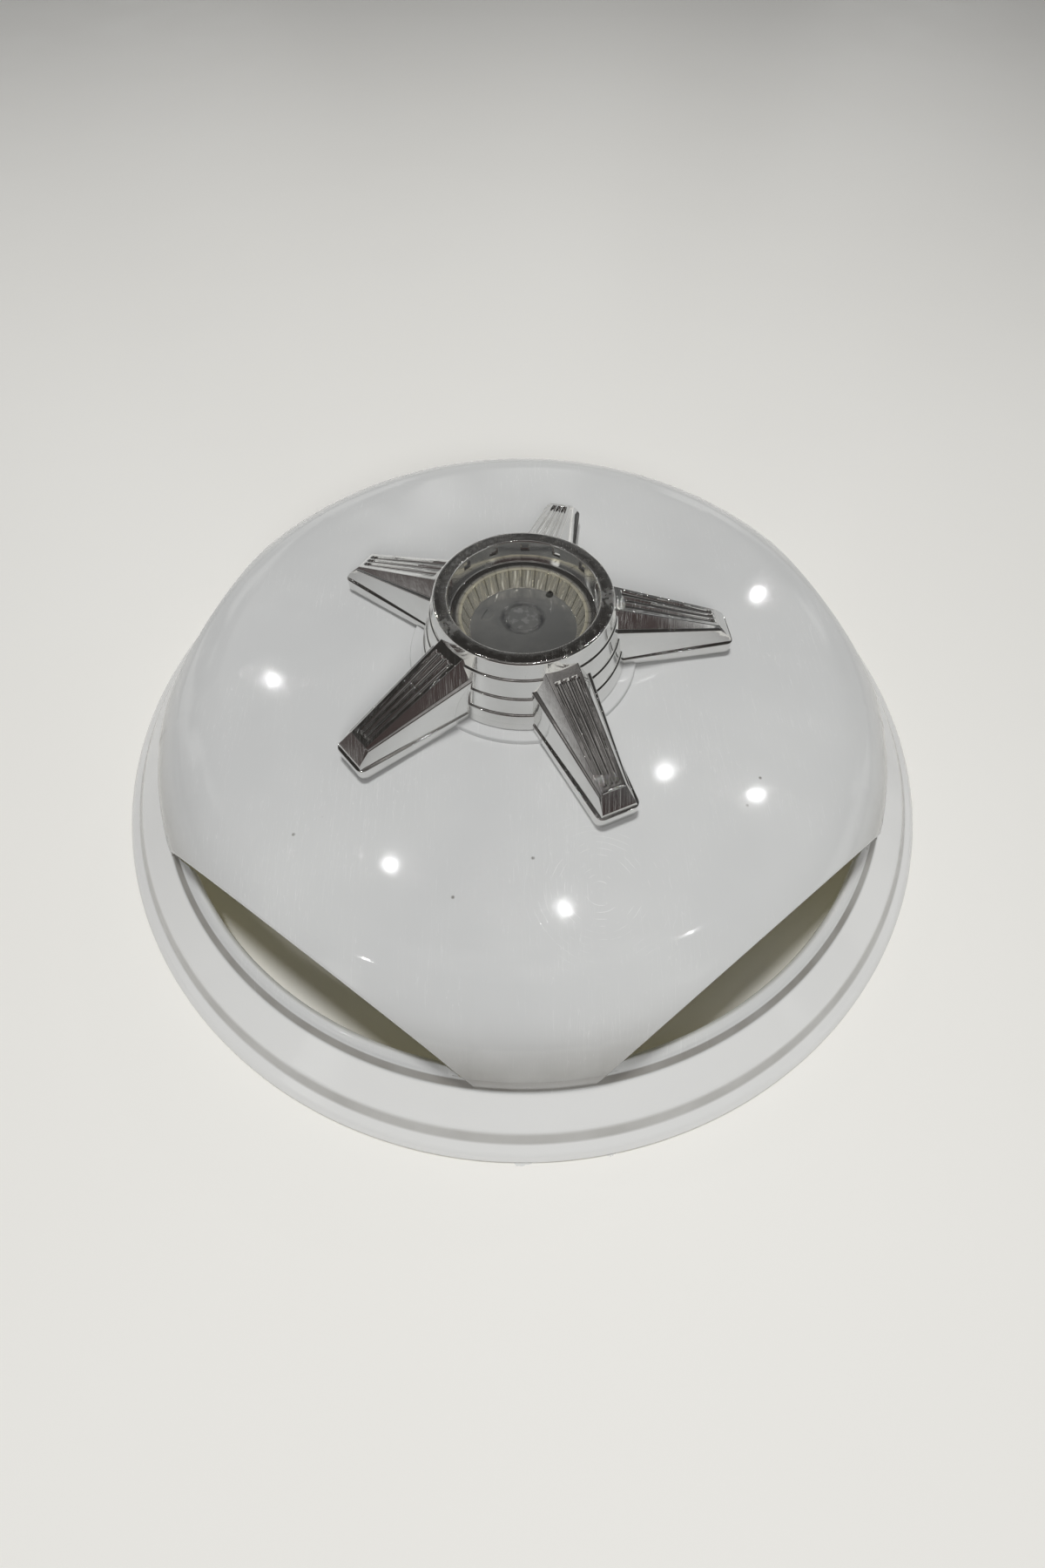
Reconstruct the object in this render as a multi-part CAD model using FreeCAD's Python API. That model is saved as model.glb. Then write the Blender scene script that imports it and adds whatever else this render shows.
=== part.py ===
import FreeCAD, Part
import math
import os

V = FreeCAD.Vector

# Driving sizes in millimetres and degrees. The axis of the wheel is Z, the rim's back edge lies on z = 0.
rim_r = 189.0
wall = 2.5
gap = 0.3

# Rim lip, step and ring flange
lip_w = 6.0
lip_h = 5.3
lip_bulge_r = 3.9
lip_bulge_z = 2.0
step_w = 2.6
step_h = 4.1
edge_t = 0.9
ring_w = 20.7
ring_h = 9.2
skirt_sink = 2.4
bead_w = 4.6
bead_h = 1.3
bead_side = 1.2
bead_rise = 0.8
lip_in_r = rim_r - lip_w
lip_in_z = lip_h
step_top_r = lip_in_r - step_w
step_top_z = lip_in_z + step_h
slot_r = step_top_r - ring_w
ring_foot_z = step_top_z + ring_h
skirt_foot_z = ring_foot_z - skirt_sink

# Dome
dome_h = 42.0
crown_z = ring_foot_z + dome_h
crown_r = 1800.0
shoulder_r = 42.0
skirt_set = 6.7
skirt_r = slot_r + skirt_set
skirt_draft = 5.0
seat_w = 0.9
seat_h = 0.5
slot_count = 5
slot_depth = 19.9
slot_flat = skirt_r - slot_depth
land_angle = -90.0
slot_angle = land_angle + 180.0 / slot_count

# Seat of the star on the dome
seat_boss_r = 48.0
seat_boss_h = 1.3

# Star trim: cup
cup_h = 31.3
bore_h = 10.3
well_h = 7.9
bore_r = 29.35
cup_wall = 5.35
ledge_w = 4.75
well_taper = 2.9
base_flare = 8.1
band_h = [8.5, 15.9, 24.1]
cup_z = crown_z + cup_h
cup_r = bore_r + cup_wall
ledge_z = cup_z - bore_h
ledge_r = bore_r - ledge_w
floor_z = ledge_z - well_h
floor_r = ledge_r - well_taper
base_r = cup_r + base_flare
band_z = [crown_z + h for h in band_h]
band_step = 0.9
flute_count = 28
flute_r = 3.0
flute_depth = 0.7
mark_depth = 0.4
gate_shift = 5.0
gate_r = 8.8
gate_w = 1.6
ejector_r = 3.0
ejector_pos_r = 17.0
ejector_angle = 154.0
drain_r = 1.7
drain_angle = 57.0

# Star trim: arms
arm_count = 5
arm_angle = 3.8
arm_lap = 3.7
deck_len = 39.5
bevel_len = 3.2
plinth_len = 2.7
plinth_h = 4.1
arm_in = cup_r - arm_lap
hub_mark = base_r - gap
deck_end = hub_mark + deck_len
bevel_end = deck_end + bevel_len
plinth_end = bevel_end + plinth_len
plinth_top_z = crown_z + plinth_h
plinth_corner = 3.2
plinth_bevel = 0.5
deck_w = (6.3, 4.7)
deck_h = (23.8, 10.6)
deck_z = (crown_z + deck_h[0], crown_z + deck_h[1])
shoulder_w = (11.3, 6.1)
shoulder_h = (17.6, 9.7)
shoulder_z = (crown_z + shoulder_h[0], crown_z + shoulder_h[1])
mid_w = (11.9, 7.4)
plinth_w = (13.2, 8.5)
groove_depth = 1.3
groove_border = 3.0

# Screws that hold the star, driven from behind
screw_set = 21.5
screw_pos_r = hub_mark + screw_set
screw_r = 1.75
screw_clear = 0.15
screw_hole_r = 2.6
screw_bite = 8.4
screw_tip_z = crown_z + screw_bite
head_r = 4.0
head_h = 2.6
head_bevel = 1.0
pad_r = 7.0
pad_h = 1.2
boss_r = 4.3

# Clip legs and gussets behind the ring
leg_count = 10
leg_set = 6.5
leg_in_r = slot_r + leg_set
leg_t = 2.2
leg_w = 16.0
leg_hook = 1.5
leg_end_z = 1.0
leg_sink = 3.5
hook_low = 2.6
hook_high = 5.6
gusset_t = 2.0
gusset_w = 9.0
gusset_sink = 1.2
gusset_back = 16.0
gusset_low = 20.0
gusset_high = 26.0
gusset_angle = 5.0
back_rib_set = 6.0
back_rib_r = seat_boss_r + back_rib_set
back_rib_w = 2.0
back_rib_h = 5.0


def ring(profile):
    """Solid of revolution about Z from (r, z) points; four values are an arc by way of the first two."""
    edges = []
    last = V(profile[0][0], 0, profile[0][1])
    first = last
    for item in profile[1:]:
        end = V(item[-2], 0, item[-1])
        if len(item) == 4:
            edges.append(Part.Arc(last, V(item[0], 0, item[1]), end).toShape())
        else:
            edges.append(Part.makeLine(last, end))
        last = end
    if last.distanceToPoint(first) > 1e-6:
        edges.append(Part.makeLine(last, first))
    face = Part.Face(Part.Wire(edges))
    return face.revolve(V(0, 0, 0), V(0, 0, 1), 360)


def turned(shape, angle):
    """Copy of a shape turned about Z."""
    out = shape.copy()
    out.rotate(V(0, 0, 0), V(0, 0, 1), angle)
    return out


def block(x0, x1, half, z0, z1):
    """Box along X, centred on Y."""
    return Part.makeBox(x1 - x0, 2 * half, z1 - z0, V(x0, -half, z0))


def at_arm(pair, r):
    """Size of an arm at a radius, from its sizes at the hub and at the deck's end."""
    return pair[0] + (pair[1] - pair[0]) * (r - hub_mark) / (deck_end - hub_mark)


def prism(section, r0, r1):
    """Solid between two like sections, given as a function of the radius that returns (y, z) points."""
    wires = []
    for r in (r0, r1):
        points = [V(r, y, z) for y, z in section(r)]
        wires.append(Part.makePolygon(points + [points[0]]))
    return Part.makeLoft(wires, True, True)


def crown(r, inset=0.0):
    """Height of the dome's crown, set in by a wall."""
    return crown_z - crown_r + math.sqrt((crown_r - inset) ** 2 - r ** 2)


def dome_profile(inset, foot_z, start):
    """Dome's section set in by a wall: the start's points, crown and shoulder arcs, skirt line."""
    big = crown_r - inset
    small = shoulder_r - inset
    draft = math.radians(skirt_draft)
    normal = (math.cos(draft), math.sin(draft))
    along = (-math.sin(draft), math.cos(draft))
    below = (skirt_r - shoulder_r * normal[0], ring_foot_z - shoulder_r * normal[1])
    rel = (below[0], below[1] - (crown_z - crown_r))
    half_b = rel[0] * along[0] + rel[1] * along[1]
    rest = rel[0] ** 2 + rel[1] ** 2 - (crown_r - shoulder_r) ** 2
    slide = -half_b + math.sqrt(half_b ** 2 - rest)
    centre = (below[0] + slide * along[0], below[1] + slide * along[1])
    top = math.atan2(centre[1] - (crown_z - crown_r), centre[0])
    meet = (big * math.cos(top), crown_z - crown_r + big * math.sin(top))
    mid_r = (start[-1][-2] + meet[0]) / 2
    turn = (top + draft) / 2
    mid = (centre[0] + small * math.cos(turn), centre[1] + small * math.sin(turn))
    low = (centre[0] + small * normal[0], centre[1] + small * normal[1])
    foot_r = low[0] + (low[1] - foot_z) * math.tan(draft)
    return start + [(mid_r, crown(mid_r, inset)) + meet, mid + low, (foot_r, foot_z), (0.0, foot_z)]


# Ring flange with the lip, the step and the bead round the slots
slope = (ring_foot_z - step_top_z) / (step_top_r - slot_r - bead_w)
bead_foot = slot_r + bead_w
lip_mid_r = lip_in_r + lip_bulge_r
lip_mid_z = lip_in_z - lip_bulge_z
under = wall / math.cos(math.atan(slope))
flange = ring([
    (rim_r - edge_t, 0.0),
    (rim_r, edge_t),
    (lip_mid_r, lip_mid_z, lip_in_r, lip_in_z),
    (step_top_r + edge_t / 2, step_top_z - edge_t),
    (step_top_r - edge_t, step_top_z + slope * edge_t),
    (bead_foot, ring_foot_z),
    (bead_foot - bead_side, ring_foot_z + bead_h),
    (slot_r + bead_side, ring_foot_z + bead_h + bead_rise),
    (slot_r, ring_foot_z + bead_rise),
    (slot_r, ring_foot_z - 1.4),
    (bead_foot - 1.0, ring_foot_z - under + slope),
    (step_top_r - 2.2, step_top_z - under + 2.2 * slope),
    (lip_in_r - 2.4, lip_in_z - 2.4),
    (rim_r - edge_t - 1.2, 0.0),
])

# Dome shell with five flats, open below; a round seat for the star outside and a round rib inside
seat_boss_z = crown_z + seat_boss_h
outer = ring(dome_profile(0.0, skirt_foot_z, [
    (0.0, seat_boss_z),
    (seat_boss_r - 0.9, seat_boss_z),
    (seat_boss_r - 0.3, seat_boss_z - 0.6),
    (seat_boss_r, crown(seat_boss_r)),
]))
rib_out_r = back_rib_r + back_rib_w
rib_low_z = crown(back_rib_r, wall) - back_rib_h
inner = ring(dome_profile(wall, -5.0, [
    (0.0, crown(0.0, wall)),
    (back_rib_r / 2, crown(back_rib_r / 2, wall), back_rib_r, crown(back_rib_r, wall)),
    (back_rib_r + 0.2, rib_low_z),
    (rib_out_r - 0.2, rib_low_z),
    (rib_out_r, crown(rib_out_r, wall)),
]))
keep = outer
hollow = inner
for k in range(slot_count):
    side = block(slot_flat, 2 * rim_r, rim_r, -crown_z, 2 * crown_z)
    side = turned(side, slot_angle + k * 360.0 / slot_count)
    keep = keep.cut(side)
    hollow = hollow.cut(side)

# Narrow seat line where each land meets the ring
land_half = math.degrees(math.acos(slot_flat / skirt_r))
seat_from = land_angle - (180.0 / slot_count - land_half)
seat_z = ring_foot_z - slope * (skirt_r - bead_foot)
seat_face = Part.Face(Part.makePolygon([
    V(skirt_r - wall, 0, seat_z - 1.0),
    V(skirt_r + seat_w, 0, seat_z - 1.0 - slope * seat_w),
    V(skirt_r + seat_w, 0, seat_z + seat_h - slope * seat_w),
    V(skirt_r - wall, 0, seat_z + seat_h + slope * wall),
    V(skirt_r - wall, 0, seat_z - 1.0),
]))
land_span = 2 * (180.0 / slot_count - land_half)
seat = turned(seat_face.revolve(V(0, 0, 0), V(0, 0, 1), land_span), seat_from)

cover = keep.fuse(flange)
for k in range(slot_count):
    cover = cover.fuse(turned(seat, k * 360.0 / slot_count))
cover = cover.cut(hollow)

# Behind the dome: a pad for each screw, gussets at the lands, clip legs on the ring
pad_z = crown(screw_pos_r) - wall - pad_h
for k in range(arm_count):
    angle = arm_angle + k * 360.0 / arm_count
    pad = Part.makeCylinder(pad_r, pad_h + 0.8, V(screw_pos_r, 0, pad_z))
    cover = cover.fuse(turned(pad, angle))
for k in range(arm_count):
    angle = arm_angle + k * 360.0 / arm_count
    hole = Part.makeCylinder(screw_hole_r, 20.0, V(screw_pos_r, 0, pad_z - 5.0))
    cover = cover.cut(turned(hole, angle))

gusset_foot = skirt_r - wall - 0.2
gusset_z = ring_foot_z - under
gusset = Part.Face(Part.makePolygon([
    V(gusset_foot + gusset_sink, -gusset_t / 2, gusset_z),
    V(gusset_foot - gusset_w, -gusset_t / 2, gusset_z + gusset_low),
    V(gusset_foot - gusset_w, -gusset_t / 2, gusset_z + gusset_high),
    V(gusset_foot + gusset_sink, -gusset_t / 2, gusset_z + gusset_back),
    V(gusset_foot + gusset_sink, -gusset_t / 2, gusset_z),
])).extrude(V(0, gusset_t, 0))
for k in range(slot_count):
    for off in (-gusset_angle, gusset_angle):
        cover = cover.fuse(turned(gusset, land_angle + off + k * 360.0 / slot_count).common(outer))

leg_top = ring_foot_z - leg_sink
leg_face = Part.Face(Part.makePolygon([
    V(leg_in_r, -leg_w / 2, leg_top),
    V(leg_in_r, -leg_w / 2, leg_end_z),
    V(leg_in_r + leg_t, -leg_w / 2, leg_end_z),
    V(leg_in_r + leg_t + leg_hook, -leg_w / 2, leg_end_z + hook_low),
    V(leg_in_r + leg_t, -leg_w / 2, leg_end_z + hook_high),
    V(leg_in_r + leg_t, -leg_w / 2, leg_top),
    V(leg_in_r, -leg_w / 2, leg_top),
]))
leg = leg_face.extrude(V(0, leg_w, 0))
for k in range(leg_count):
    cover = cover.fuse(turned(leg, land_angle + k * 360.0 / leg_count))

# Moulding flash left on the front of the rim's back edge
flash_t = 0.4
for a0, peak, a1, reach in ((-93.0, -92.2, -86.6, 0.9), (-83.0, -81.9, -80.4, 0.9)):
    corner = []
    points = (
        (a0, rim_r - edge_t - 0.6),
        (peak, rim_r + reach),
        (a1, rim_r - edge_t + 0.2),
        (a1, rim_r - 1.9),
    )
    for a, r in points:
        corner.append(V(r * math.cos(math.radians(a)), r * math.sin(math.radians(a)), 0.0))
    flash = Part.Face(Part.makePolygon(corner + [corner[0]])).extrude(V(0, 0, flash_t))
    cover = cover.fuse(flash)
cover = cover.removeSplitter()

# Star trim: stepped cup
cone = (base_r - cup_r) / (cup_z - seat_boss_z)
hub_points = [(0.0, crown_z - 4.0), (base_r, crown_z - 4.0), (base_r, seat_boss_z)]
for z in band_z:
    r = cup_r + cone * (cup_z - z)
    hub_points.append((r + band_step / 2, z - 0.15))
    hub_points.append((r - band_step / 2, z + 0.15))
hub_points.append((cup_r + 0.5, cup_z - 0.9))
hub_points.append((cup_r, cup_z - 0.3))
hub_points.append((cup_r - 0.5, cup_z))
hub_points.append((0.0, cup_z))
star = ring(hub_points)

# Star trim: one arm along X, then its copies
def body_section(r):
    left = [
        (-at_arm(mid_w, r), plinth_top_z - 4.0),
        (-at_arm(mid_w, r), plinth_top_z),
        (-at_arm(shoulder_w, r), at_arm(shoulder_z, r)),
        (-at_arm(deck_w, r), at_arm(deck_z, r)),
    ]
    right = [(-y, z) for y, z in reversed(left)]
    return left + right


body = prism(body_section, arm_in, plinth_end - 1.0)
ledge_tip_z = plinth_top_z + 1.6
bevel = Part.Face(Part.makePolygon([
    V(deck_end, -30, at_arm(deck_z, deck_end)),
    V(bevel_end, -30, ledge_tip_z),
    V(bevel_end + 0.9, -30, ledge_tip_z - 0.3),
    V(bevel_end + 1.1, -30, plinth_top_z - 0.5),
    V(plinth_end + 9.0, -30, plinth_top_z - 0.5),
    V(plinth_end + 9.0, -30, cup_z + 9.0),
    V(deck_end - 3.0, -30, cup_z + 9.0),
    V(deck_end, -30, at_arm(deck_z, deck_end)),
])).extrude(V(0, 60, 0))
body = body.cut(bevel)

def plinth_half(r):
    return plinth_w[0] + (plinth_w[1] - plinth_w[0]) * (r - hub_mark) / (plinth_end - hub_mark)


plinth = Part.Face(Part.makePolygon([
    V(arm_in, -plinth_half(arm_in), crown_z - 4.0),
    V(plinth_end, -plinth_w[1], crown_z - 4.0),
    V(plinth_end, plinth_w[1], crown_z - 4.0),
    V(arm_in, plinth_half(arm_in), crown_z - 4.0),
    V(arm_in, -plinth_half(arm_in), crown_z - 4.0),
])).extrude(V(0, 0, plinth_top_z - crown_z + 4.0))
tips = []
for e in plinth.Edges:
    box = e.BoundBox
    if box.XMin > plinth_end - 0.01 and box.ZLength > 1.0:
        tips.append(e)
plinth = plinth.makeFillet(plinth_corner, tips)
rims = []
for e in plinth.Edges:
    box = e.BoundBox
    if box.ZMin > plinth_top_z - 0.01 and box.XMax > arm_in + 1.0:
        rims.append(e)
plinth = plinth.makeChamfer(plinth_bevel, rims)
arm = body.fuse(plinth)

# Three tapering flutes sunk in the deck between raised borders
def flute_section(shift):
    def section(r):
        pitch = 2 * (at_arm(deck_w, r) - 0.9) / 3
        mid = shift * pitch
        half = pitch / 2 - 0.25
        top = at_arm(deck_z, r)
        return [(mid - half, top + 1.0), (mid - half + 0.15, top), (mid - half * 0.35, top - groove_depth),
                (mid + half * 0.35, top - groove_depth), (mid + half - 0.15, top), (mid + half, top + 1.0)]
    return section


for shift in (-1, 0, 1):
    arm = arm.cut(prism(flute_section(shift), cup_r + 4.5, deck_end - groove_border))

for k in range(arm_count):
    star = star.fuse(turned(arm, arm_angle + k * 360.0 / arm_count))

# Cup: bore, ledge, tapered lower wall with flutes, floor with its gate mark and drain hole
star = star.cut(ring([
    (0.0, floor_z),
    (floor_r, floor_z),
    (ledge_r, ledge_z),
    (bore_r - 0.5, ledge_z),
    (bore_r, ledge_z + 0.5),
    (bore_r, cup_z - 0.5),
    (bore_r + 0.5, cup_z + 0.01),
    (bore_r + 0.5, cup_z + 5.0),
    (0.0, cup_z + 5.0),
]))
lean = math.degrees(math.atan((ledge_r - floor_r) / (ledge_z - floor_z)))
scallop = Part.makeCylinder(flute_r, ledge_z - floor_z - 0.6, V(0, 0, 0))
scallop.rotate(V(0, 0, 0), V(0, 1, 0), lean)
scallop.translate(V(floor_r - flute_r + flute_depth, 0, floor_z + 0.3))
for k in range(flute_count):
    star = star.cut(turned(scallop, k * 360.0 / flute_count))
mark_z = floor_z - mark_depth
gate_at = V(0, gate_shift, mark_z)
gate = Part.makeCylinder(gate_r, 2 * mark_depth, gate_at)
gate = gate.cut(Part.makeCylinder(gate_r - gate_w, 2 * mark_depth, gate_at))
star = star.cut(gate)
ejector = Part.makeCylinder(ejector_r, 2 * mark_depth, V(ejector_pos_r, 0, mark_z))
star = star.cut(turned(ejector, ejector_angle))
drain = Part.makeCylinder(drain_r, floor_z - crown_z, V(floor_r, 0, crown_z))
star = star.cut(turned(drain, drain_angle))

# Behind the star: hollow hub and arms, with a screw boss left in each arm
hollow_top_z = ledge_z - 2.6
hollow_mid_z = hollow_top_z - 6.0
star = star.cut(ring([
    (0.0, crown_z - 5.0),
    (base_r - 4.2, crown_z - 5.0),
    (base_r - 5.4, hollow_mid_z),
    (cup_r - 0.8, hollow_top_z),
    (ledge_r + 3.4, hollow_top_z),
    (floor_r + 3.4, floor_z - wall),
    (0.0, floor_z - wall),
]))


def pocket_section(r):
    half = at_arm(shoulder_w, r) - 2.6
    high = at_arm(shoulder_z, r) - 3.2
    left = [(-half, crown_z - 5.0), (-half, high - 2.0), (-half + 2.2, high)]
    right = [(-y, z) for y, z in reversed(left)]
    return left + right


pocket = prism(pocket_section, hub_mark + 4.0, deck_end - 2.0)
pocket = pocket.cut(Part.makeCylinder(boss_r, 40.0, V(screw_pos_r, 0, crown_z - 10.0)))
pilot_h = screw_tip_z + 0.6 - crown_z + 10.0
pilot = Part.makeCylinder(screw_r + screw_clear, pilot_h, V(screw_pos_r, 0, crown_z - 10.0))
for k in range(arm_count):
    star = star.cut(turned(pocket, arm_angle + k * 360.0 / arm_count))
    star = star.cut(turned(pilot, arm_angle + k * 360.0 / arm_count))

# The star's foot follows the dome and its round seat with a small gap
foot_cut_r = 1.25 * plinth_end
under_star = ring([
    (0.0, crown_z - 12.0),
    (foot_cut_r, crown_z - 12.0),
    (foot_cut_r, crown(foot_cut_r) + gap),
    (deck_end, crown(deck_end) + gap, seat_boss_r + gap, crown(seat_boss_r + gap) + gap),
    (seat_boss_r + gap, seat_boss_z + gap),
    (0.0, seat_boss_z + gap),
])
star = star.cut(under_star).removeSplitter()

# Pan-head screws from behind
head_top = pad_z - gap
screw = ring([
    (0.0, head_top - head_h),
    (head_r - head_bevel, head_top - head_h),
    (head_r, head_top - head_h + head_bevel),
    (head_r, head_top),
    (screw_r, head_top),
    (screw_r, screw_tip_z - 1.6),
    (0.6, screw_tip_z),
    (0.0, screw_tip_z),
])
for turn in (0, 90):
    slot = block(-2.3, 2.3, 0.45, head_top - head_h - 1.0, head_top - head_h + 1.3)
    screw = screw.cut(turned(slot, turn))
screws = []
for k in range(arm_count):
    one = screw.copy()
    one.translate(V(screw_pos_r, 0, 0))
    screws.append(turned(one, arm_angle + k * 360.0 / arm_count))

os.makedirs("parts", exist_ok=True)
cover.exportStep("parts/wheel_cover.step")
star.exportStep("parts/star_trim.step")
Part.makeCompound(screws).exportStep("parts/star_screws.step")
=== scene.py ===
import math

import bmesh
import bpy
import numpy as np
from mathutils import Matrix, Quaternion, Vector


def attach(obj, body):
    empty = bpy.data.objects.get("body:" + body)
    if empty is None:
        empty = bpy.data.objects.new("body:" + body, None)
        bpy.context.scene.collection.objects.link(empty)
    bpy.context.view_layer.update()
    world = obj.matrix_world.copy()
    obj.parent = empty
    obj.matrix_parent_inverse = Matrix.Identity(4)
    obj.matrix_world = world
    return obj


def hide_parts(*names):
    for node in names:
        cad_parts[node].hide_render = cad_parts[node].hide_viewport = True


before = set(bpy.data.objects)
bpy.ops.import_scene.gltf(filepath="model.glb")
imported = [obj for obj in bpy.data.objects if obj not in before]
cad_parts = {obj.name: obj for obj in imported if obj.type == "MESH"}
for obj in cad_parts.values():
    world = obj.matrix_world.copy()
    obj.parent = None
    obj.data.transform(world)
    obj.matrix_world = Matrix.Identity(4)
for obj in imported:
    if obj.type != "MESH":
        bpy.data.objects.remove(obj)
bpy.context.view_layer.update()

MM = 0.001

# Driving sizes of the wheel cover in millimetres, as in the solids
RIM_R = 189.0
WALL = 2.5
SEAT_GAP = 0.3
LIP_W = 6.0
LIP_H = 5.3
LIP_BULGE = (3.9, 2.0)
STEP_W = 2.6
STEP_H = 4.1
EDGE_T = 0.9
RING_W = 20.7
RING_H = 9.2
SKIRT_SINK = 2.4
BEAD_W = 4.6
BEAD_H = 1.3
BEAD_SIDE = 1.2
BEAD_RISE = 0.8
DOME_H = 42.0
CROWN_R = 1800.0
SHOULDER_R = 42.0
SKIRT_SET = 6.7
SKIRT_DRAFT = math.radians(5.0)
SEAT_W = 0.9
SEAT_H = 0.5
SECTORS = 5
SLOT_DEPTH = 19.9
LAND_ANGLE = math.radians(-90.0)
SEAT_BOSS_R = 48.0
SEAT_BOSS_H = 1.3
BACK_RIB_SET = 6.0
BACK_RIB_W = 2.0
BACK_RIB_H = 5.0
GUSSET_TURNS = (-5.0, 5.0)
FLASHES = ((-93.0, -92.2, -86.6), (-83.0, -81.9, -80.4))
FLASH_REACH = 0.9

# Radii and heights of the wheel cover that follow from them
LIP_IN_R = RIM_R - LIP_W
LIP_MID = (LIP_IN_R + LIP_BULGE[0], LIP_H - LIP_BULGE[1])
STEP_TOP_R = LIP_IN_R - STEP_W
STEP_TOP_Z = LIP_H + STEP_H
SLOT_R = STEP_TOP_R - RING_W
RING_FOOT_Z = STEP_TOP_Z + RING_H
SKIRT_FOOT_Z = RING_FOOT_Z - SKIRT_SINK
CROWN_Z = RING_FOOT_Z + DOME_H
SKIRT_R = SLOT_R + SKIRT_SET
SLOT_FLAT = SKIRT_R - SLOT_DEPTH
PITCH = 2 * math.pi / SECTORS
BACK_RIB_R = SEAT_BOSS_R + BACK_RIB_SET

# Driving sizes of the star; pairs are at the hub and at the deck's end
CUP_H = 31.3
CUP_WALL = 5.35
BORE_R = 29.35
BORE_H = 10.3
LEDGE_W = 4.75
WELL_H = 7.9
WELL_TAPER = 2.9
FLOOR_MID_R = 17.8
BASE_FLARE = 8.1
BAND_H = (8.5, 15.9, 24.1)
BAND_STEP = 0.9
FLUTES = 28
FLUTE_DEPTH = 0.7
FLUTE_STEPS = 16
GATE_SHIFT = 5.0
GATE_R = 8.8
GATE_W = 1.6
EJECTOR_R = 3.0
EJECTOR_AT = (17.0, math.radians(154.0))
DRAIN_R = 1.7
DRAIN_ANGLE = math.radians(57.0)
MARK_DEPTH = 0.4
NOTCHES = 14
NOTCH_TURN = math.radians(87.2)
NOTCH_DEPTH = 1.0
NOTCH_HALF = math.radians(3.6)
NOTCH_DROP = (4.9, 1.3)
ARM_ANGLE = math.radians(3.8)
ARM_LAP = 3.7
DECK_LEN = 39.5
BEVEL_LEN = 3.2
PLINTH_LEN = 2.7
PLINTH_H = 4.1
PLINTH_CORNER = 3.2
DECK_W = (6.3, 4.7)
DECK_H = (23.8, 10.6)
SHOULDER_W = (11.3, 6.1)
SHOULDER_H = (17.6, 9.7)
SHOULDER_LEDGE = (1.5, 0.8)
MID_W = (12.5, 7.9)
PLINTH_W = (13.2, 8.5)
GROOVE_DEPTH = 1.3
GROOVE_BORDER = 0.9
GROOVE_SET = (4.5, 3.0)
FOOT_CUT = 1.2
FOOT_GAP = 0.35
SCREW_SET = 21.5

# Radii and heights of the star that follow from them
CUP_Z = CROWN_Z + CUP_H
CUP_R = BORE_R + CUP_WALL
LEDGE_Z = CUP_Z - BORE_H
LEDGE_R = BORE_R - LEDGE_W
FLOOR_Z = LEDGE_Z - WELL_H
FLOOR_R = LEDGE_R - WELL_TAPER
DRAIN_AT = (FLOOR_R, DRAIN_ANGLE)
BASE_R = CUP_R + BASE_FLARE
BAND_Z = [CROWN_Z + h for h in BAND_H]
NOTCH_Z = [CUP_Z - h for h in NOTCH_DROP]
ARM_IN = CUP_R - ARM_LAP
HUB_MARK = BASE_R - SEAT_GAP
DECK_END = HUB_MARK + DECK_LEN
BEVEL_END = DECK_END + BEVEL_LEN
PLINTH_END = BEVEL_END + PLINTH_LEN
PLINTH_TOP_Z = CROWN_Z + PLINTH_H
DECK_Z = [CROWN_Z + h for h in DECK_H]
SHOULDER_Z = [CROWN_Z + h for h in SHOULDER_H]
GROOVE_ENDS = (CUP_R + GROOVE_SET[0], DECK_END - GROOVE_SET[1])
SCREW_POS_R = HUB_MARK + SCREW_SET

# Pixels of the 1200 by 1800 picture: mirrored lamps, a patch of fine round scratches, single dark specks
PICTURE = (1200.0, 1800.0)
GLINTS = (
    (449, 992), (648, 1043), (868, 913), (313, 780), (793, 1070), (762, 885), (420, 1101), (870, 682),
)
SWIRL = (690, 1022)
SPECKS = ((337, 958), (873, 893), (700, 905), (520, 1030), (612, 985))

# Small lamps, in metres and watts
LAMP_FAR = 1.6
LAMP_SIZE = 0.032
LAMP_WATTS = 0.25

# Dulled spots on the cup's top ring, as (x, y) in millimetres
SCUFFS = ((-27.7, -16.0), (31.9, -2.8))


# Mesh helpers: a shell is (points as an n by 3 array in millimetres, list of faces)

def grid_shell(points, wrap=True):
    """Quads over an array of rows by columns by 3; wrap joins the last column to the first."""
    rows, cols = points.shape[:2]
    faces = []
    last = cols if wrap else cols - 1
    for i in range(rows - 1):
        for j in range(last):
            k = (j + 1) % cols
            faces.append((i * cols + j, i * cols + k, (i + 1) * cols + k, (i + 1) * cols + j))
    return points.reshape(-1, 3), faces


def capped(shell, rows, cols):
    """A wrapped grid shell with its first and last rows closed by one face each."""
    points, faces = shell
    first = tuple(range(cols))
    last = tuple((rows - 1) * cols + j for j in range(cols))
    return points, faces + [first, last]


def joined(shells):
    """One shell from several."""
    points = []
    faces = []
    count = 0
    for p, f in shells:
        points.append(p)
        faces += [tuple(i + count for i in face) for face in f]
        count += len(p)
    return np.concatenate(points), faces


def turned(shell, angle):
    """Copy of a shell turned about Z."""
    points, faces = shell
    c = math.cos(angle)
    s = math.sin(angle)
    spin = np.array([[c, -s, 0.0], [s, c, 0.0], [0.0, 0.0, 1.0]])
    return points @ spin.T, faces


def bezier(a, b, c, n):
    """n + 1 points of the curve from a to c that leans to the corner b."""
    t = np.linspace(0.0, 1.0, n + 1)[:, None]
    return (1 - t) ** 2 * a + 2 * t * (1 - t) * b + t ** 2 * c


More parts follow.
